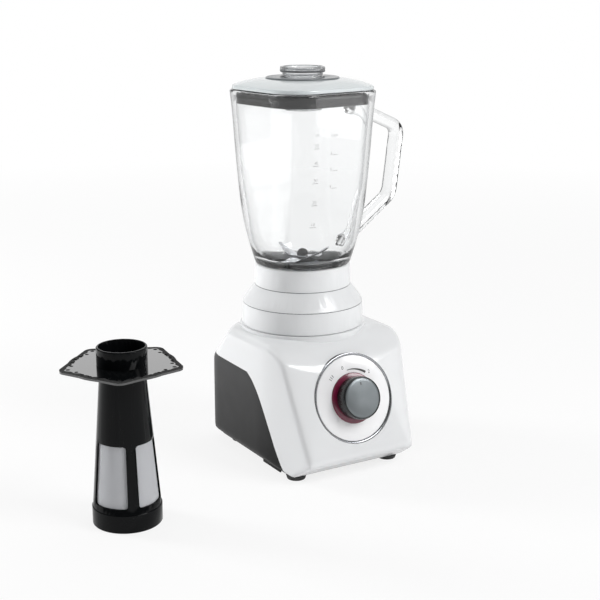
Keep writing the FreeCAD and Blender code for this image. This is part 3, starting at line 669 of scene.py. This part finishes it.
# ------------------------------------------------- pieces with eased edges
ROUNDED = (
    ("foot_ring", white_satin, 0.9), ("foot_cone", white_satin, 0.9),
    ("jug_collar", white_satin, 0.9), ("speed_knob", knob_side, 0.8),
    ("knob_cap", spun_cap, 0.7),
    ("dial_plate", dial_white, 0.3), ("dial_accent", accent_red, 0.6),
    ("foot_front_left", foot_rubber, 1.0), ("foot_front_right", foot_rubber, 1.0),
    ("foot_back_left", foot_rubber, 1.0), ("foot_back_right", foot_rubber, 1.0),
    ("cord_inlet", bush_plastic, 0.6), ("fill_ring", grey_ring, 0.5),
    ("measuring_cup", cup_plastic, 0.6), ("filter_basket", black_gloss, 0.5),
    ("blades_lower", blade_steel, 0.15),
    ("blades_upper", blade_steel, 0.15), ("blade_nut", hub_black, 0.4),
    ("seat_pad", pad_rubber, 0.4), ("drive_dog", dog_plastic, 0.5),
)
for node, material, width in ROUNDED:
    eased(node, material, width)


plate_twin = add_piece("filter_flange_plate", merged_copy("filter_flange"), black_mirror,
                       BODY["filter_flange"], ("filter_flange",))
smooth(plate_twin, 30)


def turned_ring(name, profile, where, material, node, steps=96):
    """A ring turned from corners (radius, height) in mm; it replaces a node."""
    bm = bmesh.new()
    corners = [bm.verts.new((radius * MM, 0, height * MM)) for radius, height in profile]
    edges = [bm.edges.new(pair) for pair in zip(corners, corners[1:] + corners[:1])]
    bmesh.ops.spin(bm, geom=corners + edges, axis=(0, 0, 1), cent=(0, 0, 0), angle=2 * math.pi,
                   steps=steps, use_merge=True)
    bmesh.ops.remove_doubles(bm, verts=bm.verts[:], dist=0.001 * MM)
    bmesh.ops.recalc_face_normals(bm, faces=bm.faces[:])
    bmesh.ops.transform(bm, matrix=where, verts=bm.verts[:])
    piece = add_piece(name, bm, material, BODY[node], (node,))
    smooth(piece, 50)


def square_section(inner, outer, low, high):
    return ((inner, low), (outer, low), (outer, high), (inner, high))


# dark grey rings sunk in the joints of the foot ring, cone and collar are painted shade in the
# seam grooves
SEAM_DEPTH = 2.5
SEAM_HALF = 0.55
turned_ring("dial_trim", ((46.8, -3.3), (46.8, -0.9), (46.4, -0.7), (45.5, -0.95), (44.5, -1.75),
                          (44.2, -2.2), (44.2, -3.3)), dial_frame, trim_metal, "dial_ring")
cup_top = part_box("measuring_cup")[1].z / MM
turned_ring("cup_rim_edge", square_section(22.6, 23.45, cup_top - 5.2, cup_top - 3.7),
            Matrix.Identity(4), smoky_edge, "measuring_cup")
for name, node, radius, height in (("seam_low", "foot_cone", 64.7, 166.5),
                                   ("seam_high", "jug_collar", 51.6, 185.4)):
    turned_ring(name, square_section(radius - SEAM_DEPTH, radius, height - SEAM_HALF,
                                     height + SEAM_HALF),
                Matrix.Identity(4), seam_painted_shade, node)
jug_skin = softened("jug_glass_skin", "glass_jug", 1.55, 9, jug_glass)
softened("lid_skin", "lid", 0.9, 3, lid_finish)
softened("lid_seal_skin", "lid_seal", 0.9, 2, seal_rubber)

SCALLOPS = 30


def flange_border(depth, wave):
    """A matt black sheet round the filter's plate, scalloped inwards, keeping its holes; it is a
    painted dark reflection, for the dark that a raised lip at the rim mirrors.
    """
    low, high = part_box("filter_flange")
    centre = Vector((net_middle.x, net_middle.y, (low.z + high.z) / 2))
    bm = merged_copy("filter_flange")
    outline = BVHTree.FromBMesh(bm)
    bmesh.ops.translate(bm, vec=(0, 0, 0.15 * MM), verts=bm.verts[:])
    border = add_piece("filter_plate_painted_reflection", bm, rim_painted_reflection, BODY["filter_flange"],
                       ("filter_flange",))
    plug = bmesh.new()
    rim = []
    for degrees in range(360):
        angle = math.radians(degrees)
        outward = Vector((math.cos(angle), math.sin(angle), 0))
        edge = outline.ray_cast(centre + outward * 0.1, -outward)[0]
        reach = (edge - centre).length - (depth + wave * math.cos(SCALLOPS * angle)) * MM
        rim.append(plug.verts.new(centre + outward * reach - Vector((0, 0, 5 * MM))))
    pushed_out(plug, plug.faces.new(rim), (0, 0, 10 * MM))
    cut(border, plug)
    top = high.z / MM
    slab = bmesh.new()
    drum(slab, 80, top - 0.4, top + 2.0, Matrix.Translation((centre.x, centre.y, 0)))
    cut(border, slab, "INTERSECT")
    smooth(border, 30)


flange_border(5.0, 0.9)


# ------------------------------------------------------- printed marks
def print_finish(name, value, rough=0.5):
    finish = Finish(name, Base_Color=grey(value), Specular_IOR_Level=0.3)
    finish.vary("Roughness", rough, 0.08, 400.0)
    return finish.material


# half the ink's thickness and how far its middle stands off the surface, in mm
INK_HALF = 0.04
INK_STAND = 0.05
dial_ink = print_finish("dark dial print", 0.06)
glass_ink = print_finish("pale glass print", 0.55)


def written(text, size, at=(0, 0)):
    """Generic numbers as a thin flat mesh about the point at, in mm."""
    words = bpy.data.curves.new("words", "FONT")
    words.body = text
    words.size = size
    words.align_x = "CENTER"
    words.align_y = "CENTER"
    words.extrude = INK_HALF
    holder = bpy.data.objects.new("words", words)
    bpy.context.scene.collection.objects.link(holder)
    bpy.context.view_layer.update()
    mesh = bpy.data.meshes.new_from_object(
        holder.evaluated_get(bpy.context.evaluated_depsgraph_get()))
    mesh.transform(Matrix.Translation((at[0], at[1], 0)))
    bpy.data.objects.remove(holder)
    return mesh


def stroke(bm, corners):
    """A flat inked patch between corners in mm, with a little thickness."""
    rim = [bm.verts.new((x, y, -INK_HALF)) for x, y in corners]
    pushed_out(bm, bm.faces.new(rim), (0, 0, 2 * INK_HALF))


def bar(bm, left, right, low, high):
    """An upright inked rectangle, in mm."""
    stroke(bm, ((left, low), (right, low), (right, high), (left, high)))


def laid(bm, spot, *targets):
    """Lays a flat print in mm on the surfaces that it faces."""
    trees = []
    for target in targets:
        whole = bmesh.new()
        whole.from_mesh(target.data)
        trees.append(BVHTree.FromBMesh(whole))
        whole.free()
    facing = (spot.to_3x3() @ Vector((0, 0, 1))).normalized()
    for vert in bm.verts:
        lift = (vert.co.z + INK_STAND) * MM
        start = spot @ Vector((vert.co.x * MM, vert.co.y * MM, 0)) + facing * 0.06
        hits = [tree.ray_cast(start, -facing) for tree in trees]
        hits = [hit for hit in hits if hit[0] is not None]
        nearest = min(hits, key=lambda hit: hit[3])
        vert.co = nearest[0] + facing * lift


def dial_point(radius, degrees):
    angle = math.radians(degrees)
    return (radius * math.cos(angle), radius * math.sin(angle))


# numbers on the dial, then the arc that widens from the first to the second
NUMBER_R = 33.4
ARC_START = 96
ARC_SWEEP = 44
ARC_STEPS = 16
dial_marks = bmesh.new()
for number, degrees in (("0", 104), ("2", 46)):
    dial_marks.from_mesh(written(number, 5.2, dial_point(NUMBER_R, degrees)))
for step in range(ARC_STEPS):
    share = (step / ARC_STEPS, (step + 1) / ARC_STEPS)
    inner = [dial_point(29.4, ARC_START - ARC_SWEEP * s) for s in share]
    outer = [dial_point(30.0 + 1.9 * s, ARC_START - ARC_SWEEP * s) for s in share]
    stroke(dial_marks, (inner[0], inner[1], outer[1], outer[0]))
for degrees in (129, 133, 137):
    ends = [dial_point(r, degrees + d) for r, d in
            ((31.6, 0.5), (35.0, 0.5), (35.0, -0.5), (31.6, -0.5))]
    stroke(dial_marks, ends)
laid(dial_marks, dial_frame, NODES["dial_plate"])
add_piece("dial_marks", dial_marks, dial_ink, "base")

pointer = bmesh.new()
bar(pointer, -0.6, 0.6, 13.5, 18.5)
laid(pointer, dial_frame, NODES["knob_cap"])
add_piece("knob_pointer", pointer, dial_ink, "knob")

JUG_TURN = math.radians(7.0)
jug_across = Vector((math.cos(JUG_TURN), math.sin(JUG_TURN), 0))
jug_front = jug_across.cross(Vector((0, 0, 1)))
jug_frame = spot_frame(jug_front * 0.06, jug_across, (0, 0, 1))
glass_marks = bmesh.new()
# the two columns of graduations on the glass
LEFT, RIGHT = -29.7, -7.5
NUMBER_SIZE = 4.6
for number, height in (("oz", 352.0), ("50", 341.0), ("40", 323.5), ("30", 305.7),
                       ("20", 283.0), ("10", 260.0)):
    glass_marks.from_mesh(written(number, NUMBER_SIZE, (LEFT, height)))
    if number != "oz":
        bar(glass_marks, LEFT - 3.5, LEFT + 3.5, height - 3.2, height - 2.7)
for number, height in (("cups", 350.5), ("6", 332.0), ("5", 315.6), ("4", 297.6)):
    shift = 0.0 if number == "cups" else -3.0
    glass_marks.from_mesh(written(number, NUMBER_SIZE, (RIGHT + shift, height)))
    if number != "cups":
        bar(glass_marks, RIGHT - 1.0, RIGHT + 5.5, height - 1.9, height - 1.3)
laid(glass_marks, jug_frame, jug_skin)
add_piece("glass_graduations", glass_marks, glass_ink, "jug")

# ------------------------------------------------------- stage and camera
FLOOR_HALF = 60.0
floor_mesh = bmesh.new()
bmesh.ops.create_grid(floor_mesh, x_segments=1, y_segments=1, size=FLOOR_HALF)
floor_data = bpy.data.meshes.new("floor")
floor_mesh.to_mesh(floor_data)
floor_mesh.free()
floor = bpy.data.objects.new("floor", floor_data)
bpy.context.scene.collection.objects.link(floor)

# the floor is white as the camera, gloss and glass see it, and keeps a soft shadow
ground = Finish("pale floor", Base_Color=grey(0.90), Roughness=0.9, Specular_IOR_Level=0.1)
straight, mirrored, through = ground.seen_rays()
ground_x, ground_y, _ = ground.axes(ground.place())
distance = (ground_x * ground_x + ground_y * ground_y).root()
far_off = distance.ramp(0.5, 2.2)
glow = ground.node("ShaderNodeEmission", {}, {"Color": grey(1.0), "Strength": 1.0})
share = (straight * (0.82 + 0.18 * far_off) + through * (0.8 + 0.2 * far_off)
         + mirrored * 0.5)
cover = ground.node("ShaderNodeMixShader", {},
                    {0: share, 1: Wire(ground, ground.shader.outputs[0]), 2: glow})
ground.put(ground.output.inputs["Surface"], cover)
paint(floor, ground.material)

# white behind the object, dimmer at the sides and behind the camera; the heading is
# the level direction in which the camera looks
VIEW = Vector((0.499, 0.829, -0.2527))
HEADING_X, HEADING_Y = 0.516, 0.857
world = bpy.data.worlds.new("studio")
bpy.context.scene.world = world
world.use_nodes = True
sky = Graph(world.node_tree)
sky_x, sky_y, _ = sky.axes(sky.node("ShaderNodeTexCoord", output="Generated"))
ahead = (sky_x * HEADING_X + sky_y * HEADING_Y).ramp(-0.25, 0.30)
wings = (sky_x * HEADING_Y - sky_y * HEADING_X).abs().ramp(0.35, 0.70)
straight, mirrored, through = sky.seen_rays()
open_white = ahead * (1 - 0.75 * wings)
plain = 1 - straight - mirrored - through
strength = (straight + mirrored * (0.12 + 0.88 * open_white)
            + through * (0.35 + 0.67 * open_white) + plain * 0.36)
backdrop = sky.tree.nodes["Background"]
sky.put(backdrop.inputs["Color"], grey(1.0))
sky.put(backdrop.inputs["Strength"], strength)


def lamp(name, place, aim, size, watts, mirrored=True):
    """A flat lamp, wide and tall in metres, turned to face the aim.

    Where mirrored is off, it isn't seen in gloss or through glass.
    """
    light = bpy.data.lights.new(name, "AREA")
    light.energy = watts
    light.shape = "RECTANGLE"
    light.size, light.size_y = size
    holder = bpy.data.objects.new(name, light)
    holder.location = place
    holder.visible_glossy = mirrored
    holder.visible_transmission = mirrored
    holder.rotation_euler = (Vector(aim) - Vector(place)).to_track_quat("-Z", "Y").to_euler()
    bpy.context.scene.collection.objects.link(holder)


MIDDLE = (-0.05, 0.0, 0.2)
lamp("key", (0.85, -1.5, 1.45), MIDDLE, (0.9, 0.9), 25.0)
lamp("right strip", (1.2, -1.2, 0.5), MIDDLE, (0.5, 1.1), 2.6)
lamp("left strip", (-1.25, 1.25, 0.6), MIDDLE, (0.5, 1.1), 28.0, False)
lamp("top", (0.1, 0.4, 1.8), MIDDLE, (1.0, 1.0), 2.6)

camera_data = bpy.data.cameras.new("camera")
camera_data.sensor_width = 36.0
camera_data.lens = 74.4
camera = bpy.data.objects.new("camera", camera_data)
camera.location = (-0.6737, -1.1141, 0.505)
camera.rotation_euler = VIEW.to_track_quat("-Z", "Y").to_euler()
bpy.context.scene.collection.objects.link(camera)
bpy.context.scene.camera = camera
bpy.context.scene.view_settings.view_transform = "Standard"
